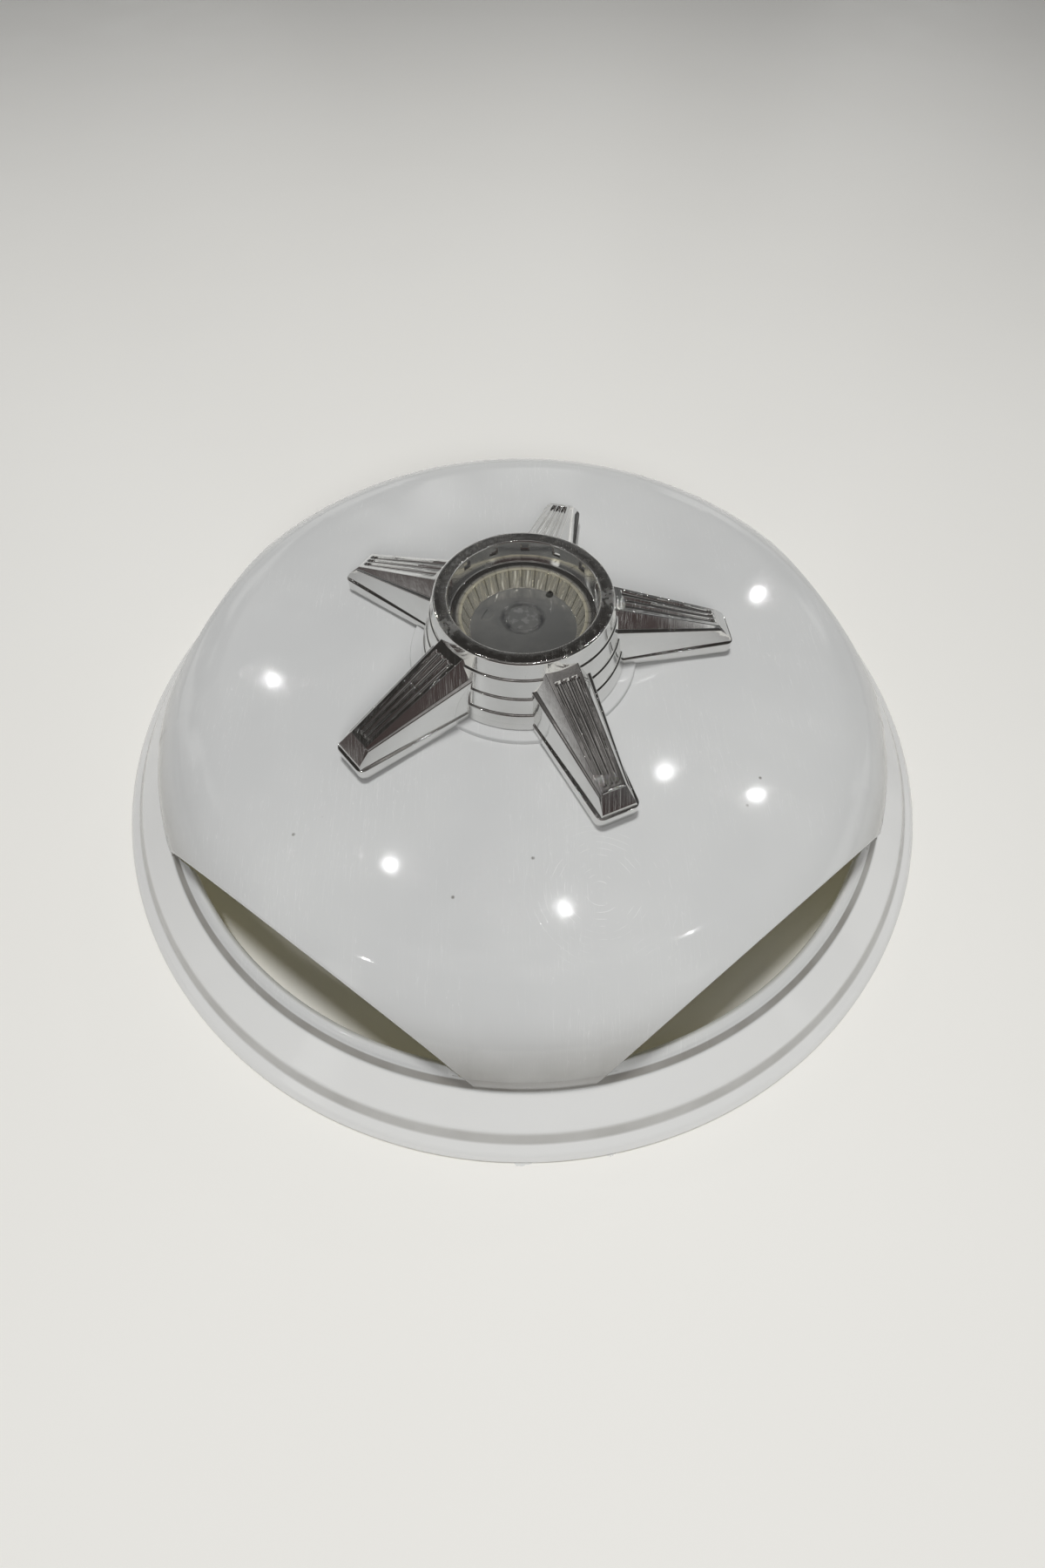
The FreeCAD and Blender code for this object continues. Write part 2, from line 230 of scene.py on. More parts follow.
def rounded(points, radius, n=4, closed=False):
    """Polyline with each corner replaced by a small curve; radius is one value or one per point."""
    most = 0.45
    pts = [np.array(p, float) for p in points]
    count = len(pts)
    radii = radius if hasattr(radius, "__len__") else [radius] * count
    out = []
    for i, p in enumerate(pts):
        if not closed and i in (0, count - 1):
            out.append(p[None])
            continue
        before = pts[i - 1] - p
        after = pts[(i + 1) % count] - p
        la = np.linalg.norm(before)
        lb = np.linalg.norm(after)
        cut = min(radii[i], most * la, most * lb)
        out.append(bezier(p + before / la * cut, p, p + after / lb * cut, n))
    return np.concatenate(out)


def revolved(profile, angles):
    """Grid of a section of (r, z) points turned to each angle."""
    r = profile[:, 0][:, None]
    z = profile[:, 1][:, None]
    return np.stack([r * np.cos(angles), r * np.sin(angles), z + 0 * angles], axis=-1)


def add_piece(name, shell, material, sharp=35.0):
    """Mesh object from a shell, in metres, shaded smooth with sharp edges by angle."""
    weld = 2e-6
    shortest = 1e-6
    points, faces = shell
    mesh = bpy.data.meshes.new(name)
    mesh.from_pydata((points * MM).tolist(), [], faces)
    bm = bmesh.new()
    bm.from_mesh(mesh)
    bmesh.ops.remove_doubles(bm, verts=bm.verts, dist=weld)
    bmesh.ops.dissolve_degenerate(bm, edges=bm.edges, dist=shortest)
    bmesh.ops.recalc_face_normals(bm, faces=bm.faces)
    bm.to_mesh(mesh)
    bm.free()
    for poly in mesh.polygons:
        poly.use_smooth = True
    mesh.set_sharp_from_angle(angle=math.radians(sharp))
    mesh.materials.append(material)
    piece = bpy.data.objects.new(name, mesh)
    bpy.context.scene.collection.objects.link(piece)
    return piece


# Wheel cover

def crown(r, inset=0.0):
    """Height of the dome's crown at a radius, set in by a wall."""
    return CROWN_Z - CROWN_R + math.sqrt((CROWN_R - inset) ** 2 - r ** 2)


def dome_curve(inset, foot_z, start_r):
    """Fine section of the dome from start_r outward: crown arc, shoulder arc, skirt."""
    crown_points = 34
    shoulder_points = 44
    big = CROWN_R - inset
    small = SHOULDER_R - inset
    nx = math.cos(SKIRT_DRAFT)
    nz = math.sin(SKIRT_DRAFT)
    below = np.array([SKIRT_R - SHOULDER_R * nx, RING_FOOT_Z - SHOULDER_R * nz])
    along = np.array([-nz, nx])
    rel = below - np.array([0.0, CROWN_Z - CROWN_R])
    half_b = rel @ along
    slide = -half_b + math.sqrt(half_b ** 2 - (rel @ rel - (CROWN_R - SHOULDER_R) ** 2))
    centre = below + slide * along
    top = math.atan2(centre[1] - (CROWN_Z - CROWN_R), centre[0])
    meet_r = big * math.cos(top)
    crown_r = np.linspace(start_r, meet_r, crown_points)
    crown_part = np.array([[r, crown(r, inset)] for r in crown_r])
    turn = np.linspace(top, SKIRT_DRAFT, shoulder_points)[1:]
    shoulder = np.stack([centre[0] + small * np.cos(turn), centre[1] + small * np.sin(turn)], axis=1)
    foot_r = shoulder[-1, 0] + (shoulder[-1, 1] - foot_z) * math.tan(SKIRT_DRAFT)
    return np.concatenate([crown_part, shoulder, [[foot_r, foot_z]]])


def lengths(curve):
    """Running length along a polyline."""
    steps = np.linalg.norm(np.diff(curve, axis=0), axis=1)
    return np.concatenate([[0.0], np.cumsum(steps)])


def along_curve(curve, at):
    """Points of a polyline at running lengths."""
    run = lengths(curve)
    return np.stack([np.interp(at, run, curve[:, 0]), np.interp(at, run, curve[:, 1])], axis=-1)


def sector_angles(slot_steps, land_steps):
    """Angles all round with a column on each slot corner, and their offsets from the slot's middle."""
    foot_r = dome_curve(0.0, SKIRT_FOOT_Z, 0.0)[-1, 0]
    corner = math.acos(SLOT_FLAT / foot_r)
    slot = np.linspace(-corner, corner, slot_steps, endpoint=False)
    land = np.linspace(corner, PITCH - corner, land_steps, endpoint=False)
    offsets = np.concatenate([slot, land])
    angles = []
    for k in range(SECTORS):
        angles.append(offsets + LAND_ANGLE + PITCH / 2 + k * PITCH)
    folded = np.where(offsets > PITCH / 2, PITCH - offsets, np.abs(offsets))
    return np.concatenate(angles), np.tile(folded, SECTORS)


def dome_shell():
    """Dome with its five flats: outside, rounded slot edge and inside as one closed surface."""
    edge_round = 0.7
    rib_round = 0.6
    draft = 0.2
    crown_share = 0.7
    crown_rows = 16
    skirt_rows = 32
    edge_rows = 4
    rib_out = BACK_RIB_R + BACK_RIB_W
    angles, offset = sector_angles(slot_steps=60, land_steps=16)
    outer = dome_curve(0.0, SKIRT_FOOT_Z, SEAT_BOSS_R)
    inner = dome_curve(WALL, SKIRT_FOOT_Z, rib_out)
    cut_r = np.minimum(SLOT_FLAT / np.cos(offset), outer[-1, 0])
    out_end = np.interp(cut_r, outer[:, 0], lengths(outer))
    in_end = np.interp(np.minimum(cut_r, inner[-1, 0]), inner[:, 0], lengths(inner))
    coarse = np.linspace(0.0, crown_share, crown_rows, endpoint=False)
    fine = np.linspace(crown_share, 1.0, skirt_rows)
    share = np.concatenate([coarse, fine])
    boss_z = CROWN_Z + SEAT_BOSS_H
    boss = rounded([
        (0.0, boss_z),
        (SEAT_BOSS_R - 2 * draft, boss_z),
        (SEAT_BOSS_R, crown(SEAT_BOSS_R)),
    ], edge_round)
    rib_z = crown(BACK_RIB_R, WALL) - BACK_RIB_H
    rib = rounded([
        (0.0, crown(0.0, WALL)),
        (BACK_RIB_R, crown(BACK_RIB_R, WALL)),
        (BACK_RIB_R + draft, rib_z),
        (rib_out - draft, rib_z),
        (rib_out, crown(rib_out, WALL)),
    ], rib_round)
    columns = []
    for a, o_end, i_end in zip(angles, out_end, in_end):
        top = along_curve(outer, share * (o_end - edge_round))
        low = along_curve(inner, share * (i_end - edge_round))[::-1]
        top_corner = along_curve(outer, np.array([o_end]))[0]
        low_corner = along_curve(inner, np.array([i_end]))[0]
        drop = low_corner - top_corner
        drop = drop / np.linalg.norm(drop)
        edge_a = bezier(top[-1], top_corner, top_corner + edge_round * drop, edge_rows)[1:]
        edge_b = bezier(low_corner - edge_round * drop, low_corner, low[0], edge_rows)[:-1]
        section = np.concatenate([boss[:-1], top, edge_a, edge_b, low, rib[::-1][1:]])
        columns.append(revolved(section, np.array([a]))[:, 0])
    return grid_shell(np.stack(columns, axis=1))


def ring_slope():
    """Fall of the ring for each millimetre outward."""
    return (RING_FOOT_Z - STEP_TOP_Z) / (STEP_TOP_R - SLOT_R - BEAD_W)


def ring_shell():
    """Ring flange with lip, step and a bead round the slots; at the lands it stops inside the skirt."""
    overlap = 0.2
    bead_low = 1.4
    foot_in = 1.0
    step_in = 2.2
    lip_in = 2.4
    edge_in = 1.2
    per_corner = 6
    top_corners = 10
    slope = ring_slope()
    under = WALL / math.cos(math.atan(slope))
    foot_r = SLOT_R + BEAD_W
    # Each corner of the section with its rounding, from the rim over the top and back below
    corners = [
        ((RIM_R - EDGE_T, 0.0), 0.3),
        ((RIM_R, EDGE_T), 0.9),
        (LIP_MID, 3.0),
        ((LIP_IN_R, LIP_H), 0.8),
        ((STEP_TOP_R + EDGE_T / 2, STEP_TOP_Z - EDGE_T), 0.5),
        ((STEP_TOP_R - EDGE_T, STEP_TOP_Z + slope * EDGE_T), 0.8),
        ((foot_r, RING_FOOT_Z), 0.7),
        ((foot_r - BEAD_SIDE, RING_FOOT_Z + BEAD_H), 1.0),
        ((SLOT_R + BEAD_SIDE, RING_FOOT_Z + BEAD_H + BEAD_RISE), 1.0),
        ((SLOT_R, RING_FOOT_Z + BEAD_RISE), 0.8),
        ((SLOT_R, RING_FOOT_Z - bead_low), 0.5),
        ((foot_r - foot_in, RING_FOOT_Z - under + slope * foot_in), 0.6),
        ((STEP_TOP_R - step_in, STEP_TOP_Z - under + slope * step_in), 0.6),
        ((LIP_IN_R - lip_in, LIP_H - lip_in), 0.6),
        ((RIM_R - EDGE_T - edge_in, 0.0), 0.3),
    ]
    places = [c[0] for c in corners]
    rounds = [c[1] for c in corners]
    section = rounded(places, rounds, n=per_corner - 1, closed=True)
    top_side = np.arange(len(section)) < top_corners * per_corner - per_corner // 2
    angles, offset = sector_angles(slot_steps=60, land_steps=20)
    start_r = np.clip(SLOT_FLAT / np.cos(offset), SLOT_R, SKIRT_R - WALL + overlap)
    columns = []
    for a, r_in in zip(angles, start_r):
        cut = section.copy()
        short = cut[:, 0] < r_in
        over = short & top_side
        below = short & ~top_side
        line = RING_FOOT_Z - slope * (r_in - foot_r)
        if r_in > foot_r - BEAD_SIDE:
            cut[over, 1] = np.minimum(cut[over, 1], line)
        cut[below, 1] = np.maximum(cut[below, 1], line - under)
        cut[short, 0] = r_in
        columns.append(revolved(cut, np.array([a]))[:, 0])
    points = np.stack(columns, axis=1)
    return grid_shell(np.concatenate([points, points[:1]]))


def seat_shell():
    """Narrow rounded line where a land meets the ring, at one land along X."""
    sink = 1.0
    ease = 0.3
    columns = 28
    slope = ring_slope()
    foot_z = RING_FOOT_Z - slope * (SKIRT_R - SLOT_R - BEAD_W)
    section = rounded([
        (SKIRT_R - WALL, foot_z - sink),
        (SKIRT_R + SEAT_W, foot_z - sink - slope * SEAT_W),
        (SKIRT_R + SEAT_W, foot_z + SEAT_H - slope * SEAT_W),
        (SKIRT_R - WALL, foot_z + SEAT_H + slope * WALL),
    ], ease, closed=True)
    half = PITCH / 2 - math.acos(SLOT_FLAT / SKIRT_R)
    angles = np.linspace(-half, half, columns)
    points = np.swapaxes(revolved(section, angles), 0, 1)
    return capped(grid_shell(points), len(angles), len(section))


def plate_shell(outline, half, edge=0.35):
    """Plate of an (x, z) outline, half its thickness to each side of Y, with eased edges."""
    corner = 0.8
    pts = rounded(outline, corner, n=3, closed=True)
    middle = pts.mean(axis=0)
    rows = []
    for y, shrink in ((-half, edge), (-half + edge, 0.0), (half - edge, 0.0), (half, edge)):
        away = pts - middle
        size = np.linalg.norm(away, axis=1)[:, None]
        row = middle + away * (1 - shrink / size)
        rows.append(np.stack([row[:, 0], np.full(len(row), y), row[:, 1]], axis=1))
    return capped(grid_shell(np.stack(rows)), len(rows), len(pts))


def gusset_shell():
    """Thin stiffener inside a land."""
    half = 1.0
    gap = 0.2
    lap = 1.2
    reach = 9.0
    tip_low = 20.0
    tip_high = 25.0
    back_in = 1.4
    back_high = 15.0
    foot = SKIRT_R - WALL - gap
    low = RING_FOOT_Z - WALL / math.cos(math.atan(ring_slope()))
    outline = [
        (foot + lap, low),
        (foot - reach, low + tip_low),
        (foot - reach, low + tip_high),
        (foot - back_in, low + back_high),
    ]
    return plate_shell(outline, half)


def leg_shell():
    """Clip leg behind the ring, with its hook."""
    leg_set = 6.5
    in_r = SLOT_R + leg_set
    thick = 2.2
    out_r = in_r + thick
    hook = 1.5
    hook_low = 2.6
    hook_high = 5.6
    end = 1.0
    half = 8.0
    below_ring = 3.5
    top = RING_FOOT_Z - below_ring
    outline = [
        (in_r, top),
        (in_r, end),
        (out_r, end),
        (out_r + hook, end + hook_low),
        (out_r, end + hook_high),
        (out_r, top),
    ]
    return plate_shell(outline, half)


def pad_shell():
    """Round pad for a screw behind the dome."""
    pad_r = 7.0
    sink = 0.5
    rise = 1.2
    ease = 0.5
    columns = 40
    back = crown(SCREW_POS_R) - WALL
    section = rounded([
        (0.0, back + sink),
        (pad_r, back + sink),
        (pad_r, back - rise),
        (0.0, back - rise),
    ], ease)
    angles = np.linspace(0, 2 * math.pi, columns, endpoint=False)
    points, faces = grid_shell(revolved(section, angles))
    return points + np.array([SCREW_POS_R, 0.0, 0.0]), faces


def flash_shell(start, peak, end):
    """Thin sliver of moulding flash on the rim's back edge, between angles in degrees."""
    thick = 0.4
    tip_low = 0.05
    tip_share = 0.6
    root_in = 2.0
    low_in = 0.5
    peak_over = 0.3
    smooth_foot = 0.1
    steps = 26
    # Size, pace and shift of the waves that make the edge ragged
    waves = ((0.16, 23.0, 0.0), (0.1, 57.0, 1.0))
    root = RIM_R - root_in
    low = RIM_R - EDGE_T - low_in
    tall = FLASH_REACH + EDGE_T + peak_over
    rows = []
    for a in np.linspace(start, end, steps):
        rise = (a - start) / (peak - start) if a < peak else (end - a) / (end - peak)
        ragged = sum(size * math.sin(a * pace + shift) for size, pace, shift in waves)
        out = low + max(0.0, rise) * tall * (1 + ragged * (rise > smooth_foot))
        out = min(out, RIM_R + FLASH_REACH)
        c = math.cos(math.radians(a))
        s = math.sin(math.radians(a))
        rows.append([
            (root * c, root * s, 0.0),
            (out * c, out * s, tip_low),
            (out * c, out * s, thick * tip_share),
            (root * c, root * s, thick),
        ])
    return capped(grid_shell(np.array(rows)), len(rows), 4)


def cover_shell():
    """The whole wheel cover, with what is moulded on behind it."""
    shells = [dome_shell(), ring_shell()]
    for k in range(SECTORS):
        land = LAND_ANGLE + k * PITCH
        shells.append(turned(seat_shell(), land))
        for off in GUSSET_TURNS:
            shells.append(turned(gusset_shell(), land + math.radians(off)))
        for half in (0.0, PITCH / 2):
            shells.append(turned(leg_shell(), land + half))
        shells.append(turned(pad_shell(), ARM_ANGLE + k * PITCH))
    for flash in FLASHES:
        shells.append(flash_shell(*flash))
    return joined(shells)


# Star

def hub_shell():
    """Stepped cup of the star: banded outside, bore with notches, ledge, fluted lower wall and floor."""
    step = 0.15
    near = 0.02
    sharp = 0.01
    foot = 0.05
    sink = 0.6
    top_out = 0.35
    top_in = 0.5
    mouth = (0.4, 0.5)
    flute_ends = (0.3, 0.4)
    count = FLUTES * FLUTE_STEPS
    angles = np.linspace(0, 2 * math.pi, count, endpoint=False)
    cone = (BASE_R - CUP_R) / (CUP_Z - CROWN_Z - SEAT_BOSS_H)
    base_z = CROWN_Z + SEAT_BOSS_H + SEAT_GAP
    # Each corner of the section with its rounding, from the foot up the outside and down into the cup
    corners = [
        ((0.0, base_z - sink), 0.1),
        ((BASE_R - FOOT_CUT, base_z - sink), 0.1),
        ((BASE_R - FOOT_CUT, base_z), foot),
        ((BASE_R, base_z + foot), 0.2),
    ]
    for z in BAND_Z:
        r = CUP_R + cone * (CUP_Z - z)
        corners.append(((r + BAND_STEP / 2, z - step), 0.35))
        corners.append(((r - BAND_STEP / 2, z + step), 0.3))
    corners += [
        ((CUP_R + top_out, CUP_Z - top_out), 0.9),
        ((CUP_R - top_in, CUP_Z), 0.6),
        ((BORE_R + mouth[0], CUP_Z), 0.5),
        ((BORE_R, CUP_Z - mouth[1]), 0.4),
        ((BORE_R, NOTCH_Z[1] + step), sharp),
        ((BORE_R, NOTCH_Z[1]), sharp),
        ((BORE_R, NOTCH_Z[0]), sharp),
        ((BORE_R, NOTCH_Z[0] - step), sharp),
        ((BORE_R, LEDGE_Z), 0.5),
        ((LEDGE_R, LEDGE_Z), 0.5),
        ((FLOOR_R, FLOOR_Z), 0.4),
        ((FLOOR_MID_R, FLOOR_Z), sharp),
    ]
    section = rounded([c[0] for c in corners], [c[1] for c in corners], n=4)
    points = revolved(section, angles)
    r = section[:, 0]
    z = section[:, 1]
    notch_step = 2 * math.pi / NOTCHES
    notch_off = np.abs((angles - NOTCH_TURN + notch_step / 2) % notch_step - notch_step / 2)
    in_notch = notch_off < NOTCH_HALF
    on_bore = (np.abs(r - BORE_R) < near) & (z > NOTCH_Z[0] - near) & (z < NOTCH_Z[1] + near)
    flute = np.abs(np.sin(angles * FLUTES / 2))
    wall = (z > FLOOR_Z + flute_ends[0]) & (z < LEDGE_Z - flute_ends[1]) & (r < LEDGE_R + sharp)
    grow = np.zeros((len(section), count))
    grow[np.ix_(on_bore, in_notch)] = NOTCH_DEPTH
    grow[wall] = FLUTE_DEPTH * (1 - flute)[None, :]
    scale = 1 + grow / np.maximum(r, 1.0)[:, None]
    points[..., 0] *= scale
    points[..., 1] *= scale
    return grid_shell(points)


def floor_shell():
    """Floor of the cup as a fine polar height field: gate groove, ejector mark and drain hole."""
    ramp = 0.6
    lift = 0.02
    lap = 1.0
    drain_depth = 6.0
    inner_rings = 70
    outer_rings = 14
    columns = 160
    rings = np.concatenate([
        np.linspace(0.0, FLOOR_MID_R, inner_rings),
        np.linspace(FLOOR_MID_R, FLOOR_R + lap, outer_rings)[1:],
    ])
    angles = np.linspace(0, 2 * math.pi, columns, endpoint=False)
    r, a = np.meshgrid(rings, angles, indexing="ij")
    x = r * np.cos(a)
    y = r * np.sin(a)

    def hole(place, radius):
        middle_x = place[0] * math.cos(place[1])
        middle_y = place[0] * math.sin(place[1])
        return np.clip((radius - np.hypot(x - middle_x, y - middle_y)) / ramp + 0.5, 0.0, 1.0)

    gate = np.abs(np.hypot(x, y - GATE_SHIFT) - GATE_R + GATE_W / 2)
    groove = np.clip((GATE_W / 2 - gate) / ramp + 0.5, 0.0, 1.0)
    marks = np.maximum(groove, hole(EJECTOR_AT, EJECTOR_R))
    z = FLOOR_Z + lift - MARK_DEPTH * marks - drain_depth * hole(DRAIN_AT, DRAIN_R)
    return grid_shell(np.stack([x, y, z], axis=-1))


def at_arm(pair, r):
    """Size of an arm at a radius, from its sizes at the hub and at the deck's end."""
    return pair[0] + (pair[1] - pair[0]) * (r - HUB_MARK) / (DECK_END - HUB_MARK)


def deck_points(r, half, top):
    """Points across the deck with its three flutes, from one border to the other."""
    flutes = 3
    ridge = 0.5
    narrowest = 0.3
    hub_ramp = 0.5
    tip_ramp = 0.8
    columns = 61
    y = np.linspace(-1.0, 1.0, columns) * half
    inner = max(half - GROOVE_BORDER, narrowest)
    pitch = 2 * inner / flutes
    place = (y + inner) / pitch
    share = np.abs(place - np.floor(place) - 0.5) * 2
    wide = 1 - ridge / pitch
    shape = np.sqrt(np.clip(1 - (share / wide) ** 2, 0.0, 1.0))
    shape[np.abs(y) > inner] = 0.0
    ends = min((r - GROOVE_ENDS[0]) / hub_ramp, (GROOVE_ENDS[1] - r) / tip_ramp)
    fade = min(max(ends, 0.0), 1.0)
    z = top - GROOVE_DEPTH * fade * shape
    return np.stack([y, z], axis=1)


def arm_row(r, top):
    """Section of an arm at a radius, cut off flat at the height top."""
    least_rise = 0.05
    most_ledge = 0.5
    ledge_slope = 0.2
    knee_gap = 0.03
    sink = 1.5
    edge_in = 0.6
    deck_in = 0.4
    rounds = [0.0, 0.3, 0.5, 0.3, 0.35, 0.0]
    mid = at_arm(MID_W, r)
    sh_w = at_arm(SHOULDER_W, r)
    sh_z = at_arm(SHOULDER_Z, r)
    dk_w = at_arm(DECK_W, r)
    dk_z = at_arm(DECK_Z, r)
    if top > sh_z + least_rise:
        edge = sh_w + (dk_w - sh_w) * (top - sh_z) / (dk_z - sh_z)
        knee = (sh_w, sh_z)
        in_by = min(at_arm(SHOULDER_LEDGE, r), most_ledge * (sh_w - edge))
        ledge = (sh_w - in_by, sh_z + ledge_slope * in_by)
    else:
        edge = mid + (sh_w - mid) * (top - PLINTH_TOP_Z) / (sh_z - PLINTH_TOP_Z)
        knee = (edge + knee_gap, top - 2 * knee_gap)
        ledge = (edge + knee_gap / 2, top - knee_gap)
    low = CROWN_Z - sink
    side = [(mid, low), (mid, PLINTH_TOP_Z), knee, ledge, (edge, top), (edge - edge_in, top)]
    side = rounded(side, rounds, n=4)[:-1]
    deck = deck_points(r, edge - deck_in, top)
    left = side * np.array([-1.0, 1.0])
    return np.concatenate([left, deck, side[::-1]])


def arm_shell():
    """One arm along X: lofted body with a bevelled tip, on a plinth with rounded corners."""
    ease = 0.35
    flat_end = DECK_END - 2.0
    bevel_start = DECK_END - 1.0
    tip_z = PLINTH_TOP_Z + 1.6
    edge_top = (0.9, 0.3)
    edge_low = (1.5, 0.35)
    foot = (1.8, 0.6)
    tip = rounded([
        (flat_end, at_arm(DECK_Z, flat_end)),
        (bevel_start, at_arm(DECK_Z, bevel_start)),
        (BEVEL_END + edge_top[0], tip_z + edge_top[1]),
        (BEVEL_END + edge_low[0], tip_z - edge_low[1]),
        (BEVEL_END + foot[0], PLINTH_TOP_Z - foot[1]),
    ], ease, n=5)
    hub_end, tip_end = GROOVE_ENDS
    # Rows lie closest where the flutes begin and end
    stations = np.concatenate([
        np.linspace(ARM_IN, hub_end - 0.2, 4),
        np.linspace(hub_end, hub_end + 0.8, 6),
        np.linspace(hub_end + 2.0, tip_end - 1.6, 20),
        np.linspace(tip_end - 1.0, tip_end + 0.2, 6),
    ])
    rows = []
    for r in stations:
        rows.append((r, at_arm(DECK_Z, r)))
    rows += [tuple(p) for p in tip]
    grid = []
    for r, top in rows:
        row = arm_row(r, top)
        grid.append(np.stack([np.full(len(row), r), row[:, 0], row[:, 1]], axis=1))
    grid = np.stack(grid)
    return joined([capped(grid_shell(grid), len(rows), grid.shape[1]), plinth_shell()])


def seat_height(r):
    """Height of the cover under the star at a radius."""
    return CROWN_Z + SEAT_BOSS_H if r < SEAT_BOSS_R else crown(r)


def plinth_shell():
    """Low foot of an arm, with an eased top edge and a fine gap below."""
    ease = 0.4
    sink = 0.4
    lip = (0.05, 0.15)
    full = 0.25
    turns = 6
    slope = (PLINTH_W[1] - PLINTH_W[0]) / (PLINTH_END - HUB_MARK)
    start = PLINTH_W[0] + slope * (ARM_IN - HUB_MARK)
    outline = rounded([
        (ARM_IN, -start),
        (PLINTH_END, -PLINTH_W[1]),
        (PLINTH_END, PLINTH_W[1]),
        (ARM_IN, start),
    ], [0.0, PLINTH_CORNER, PLINTH_CORNER, 0.0], n=8)
    ahead = np.roll(outline, -1, axis=0) - np.roll(outline, 1, axis=0)
    ahead[0] = outline[1] - outline[0]
    ahead[-1] = outline[-1] - outline[-2]
    normal = np.stack([ahead[:, 1], -ahead[:, 0]], axis=1)
    normal = normal / np.linalg.norm(normal, axis=1)[:, None]
    seat = np.array([seat_height(math.hypot(x, y)) for x, y in outline])
    flat = np.ones(len(outline))
    # Heights of the rows with how far each is set in
    levels = [
        (seat - sink, FOOT_CUT),
        (seat + FOOT_GAP, FOOT_CUT),
        (seat + FOOT_GAP + lip[0], lip[1]),
        (seat + FOOT_GAP + full, 0.0),
    ]
    for turn in np.linspace(0, math.pi / 2, turns):
        height = PLINTH_TOP_Z - ease + ease * math.sin(turn)
        levels.append((flat * height, ease * (1 - math.cos(turn))))
    rows = []
    for z, inset in levels:
        row = outline - normal * inset
        rows.append(np.stack([row[:, 0], row[:, 1], z], axis=1))
    return capped(grid_shell(np.stack(rows)), len(rows), len(outline))


def star_shell():
    """The whole star: cup, floor and five arms."""
    shells = [hub_shell(), floor_shell()]
    arm = arm_shell()
    for k in range(SECTORS):
        shells.append(turned(arm, ARM_ANGLE + k * PITCH))
    return joined(shells)


# Places taken from pixels

def dome_view(pixel):
    """Point of the dome that the camera sees at a pixel, with the view's direction and the dome's."""
    nearest = 100.0
    farthest = 600.0
    tries = 20001
    beside = 0.5
    camera = bpy.context.scene.camera
    eye = np.array(camera.location) / MM
    focal = camera.data.lens / camera.data.sensor_height * PICTURE[1]
    ray = np.array([pixel[0] - PICTURE[0] / 2, PICTURE[1] / 2 - pixel[1], -focal])
    ray = np.array(camera.rotation_quaternion.to_matrix()) @ ray
    ray = ray / np.linalg.norm(ray)
    curve = dome_curve(0.0, SKIRT_FOOT_Z, 0.0)
    reach = np.linspace(nearest, farthest, tries)
    path = eye + reach[:, None] * ray
    inside = path[:, 2] < np.interp(np.hypot(path[:, 0], path[:, 1]), curve[:, 0], curve[:, 1])
    hit = path[np.argmax(inside)]
    r = math.hypot(hit[0], hit[1])
    around = np.interp([r - beside, r + beside], curve[:, 0], curve[:, 1])
    tilt = (around[1] - around[0]) / (2 * beside)
    normal = np.array([-tilt * hit[0] / r, -tilt * hit[1] / r, 1.0])
    normal = normal / np.linalg.norm(normal)
    return hit, ray, normal


def dome_spot(pixel):
    """Point of the dome at a pixel, in metres."""
    return tuple(dome_view(pixel)[0] * MM)


def lamp_place(pixel):
    """Where a lamp hangs so that the camera sees its mirror image in the dome at a pixel."""
    hit, ray, normal = dome_view(pixel)
    mirrored = ray - 2 * (ray @ normal) * normal
    return tuple(hit * MM + LAMP_FAR * mirrored)


# Materials

